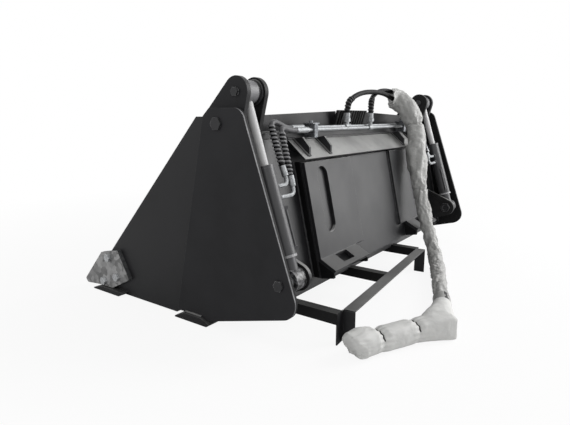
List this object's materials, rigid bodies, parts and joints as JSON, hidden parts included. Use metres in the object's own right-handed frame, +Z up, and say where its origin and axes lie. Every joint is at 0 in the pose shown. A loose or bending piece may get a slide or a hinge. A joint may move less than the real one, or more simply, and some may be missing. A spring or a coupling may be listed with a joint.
{
  "type": "combination bucket",
  "caption": "Wide compact-loader bucket whose front clam swings open on side pivots by hydraulic cylinders, with hook-on coupling frame, hoses and angle-iron stand.",
  "frame": {"origin": "on the ground under the object's middle, between its sides and between the front cutters and the stand", "axes": "+X to the operator's right across the bucket, +Y forward to the front cutting edge, +Z up"},
  "size_m": [1.852, 1.5718, 0.917],
  "materials": {
    "black_paint": "satin powder coat",
    "edge_steel": "satin paint over hard steel",
    "cutter_steel": "dull galvanised plate",
    "bolt_zinc": "dull zinc",
    "barrel_paint": "semi-gloss paint",
    "rod_chrome": "polished chrome",
    "tube_zinc": "bright zinc",
    "hose_rubber": "matt rubber",
    "wrap_fabric": "thin padded wrapping",
    "bag_fabric": "tied plastic sheet",
    "stand_paint": "satin paint"
  },
  "bodies": {
    "back": {"attach_lip": "black_paint", "attach_panel": "black_paint", "attach_webs": "black_paint", "back_floor": "black_paint", "back_plate": "black_paint", "base_pins": "bolt_zinc", "coupler_bag": "bag_fabric", "cylinder_lugs": "black_paint", "feed_tees": "tube_zinc", "hose_wrap": "wrap_fabric", "left_attach_strip": "black_paint", "left_base_hose": "hose_rubber", "left_rod_hose": "hose_rubber", "left_side_plate": "black_paint", "left_supply_hose": "hose_rubber", "lip_ribs": "black_paint", "lower_feed_tube": "tube_zinc", "pin_nuts": "bolt_zinc", "pin_spacers": "bolt_zinc", "pivot_brackets": "black_paint", "pivot_pins": "bolt_zinc", "rear_cutting_edge": "edge_steel", "right_attach_strip": "black_paint", "right_base_hose": "hose_rubber", "right_rod_hose": "hose_rubber", "right_side_plate": "black_paint", "right_supply_hose": "hose_rubber", "spill_guard": "black_paint", "stand_bars": "stand_paint", "stand_beam": "stand_paint", "stand_legs": "stand_paint", "top_rail": "black_paint", "tube_clamps": "tube_zinc", "tube_crimps": "tube_zinc", "upper_feed_tube": "tube_zinc", "view_slats": "black_paint"},
    "clam": {"clam_floor": "black_paint", "front_cutting_edge": "edge_steel", "left_clam_side": "black_paint", "right_clam_side": "black_paint", "left_outer_arm": "black_paint", "right_outer_arm": "black_paint", "left_inner_arm": "black_paint", "right_inner_arm": "black_paint", "left_side_cutter": "cutter_steel", "right_side_cutter": "cutter_steel", "arm_tubes": "black_paint", "arm_bosses": "black_paint", "rod_pins": "bolt_zinc", "cutter_bolts": "bolt_zinc"},
    "left_barrel": {"left_barrel": "barrel_paint", "left_gland": "barrel_paint", "left_elbows": "tube_zinc"},
    "left_rod": {"left_rod": "rod_chrome"},
    "right_barrel": {"right_barrel": "barrel_paint", "right_gland": "barrel_paint", "right_elbows": "tube_zinc"},
    "right_rod": {"right_rod": "rod_chrome"}
  },
  "joints": [
    {"name": "clam_hinge", "type": "hinge", "parent": "back", "child": "clam", "pos_m": [0, -0.214, 0.745], "axis": [1, 0, 0], "range_deg": [0, 60]},
    {"name": "left_barrel_swing", "type": "hinge", "parent": "back", "child": "left_barrel", "pos_m": [-0.834, -0.472, 0.229], "axis": [1, 0, 0], "range_deg": [0, 3.9], "deforming": ["left_rod_hose", "left_base_hose"]},
    {"name": "left_rod_slide", "type": "slide", "parent": "left_barrel", "child": "left_rod", "axis": [0, 0.3038, 0.9527], "range_m": [-0.116, 0]},
    {"name": "right_barrel_swing", "type": "hinge", "parent": "back", "child": "right_barrel", "pos_m": [0.834, -0.472, 0.229], "axis": [1, 0, 0], "range_deg": [0, 3.9], "deforming": ["right_rod_hose", "right_base_hose"]},
    {"name": "right_rod_slide", "type": "slide", "parent": "right_barrel", "child": "right_rod", "axis": [0, 0.3038, 0.9527], "range_m": [-0.116, 0]}
  ],
  "couplings": [
    {"joint": "left_barrel_swing", "follows": "clam_hinge", "ratio": 0.06387},
    {"joint": "left_rod_slide", "follows": "clam_hinge", "m_per_rad": -0.10959},
    {"joint": "right_barrel_swing", "follows": "clam_hinge", "ratio": 0.06387},
    {"joint": "right_rod_slide", "follows": "clam_hinge", "m_per_rad": -0.10959}
  ]
}
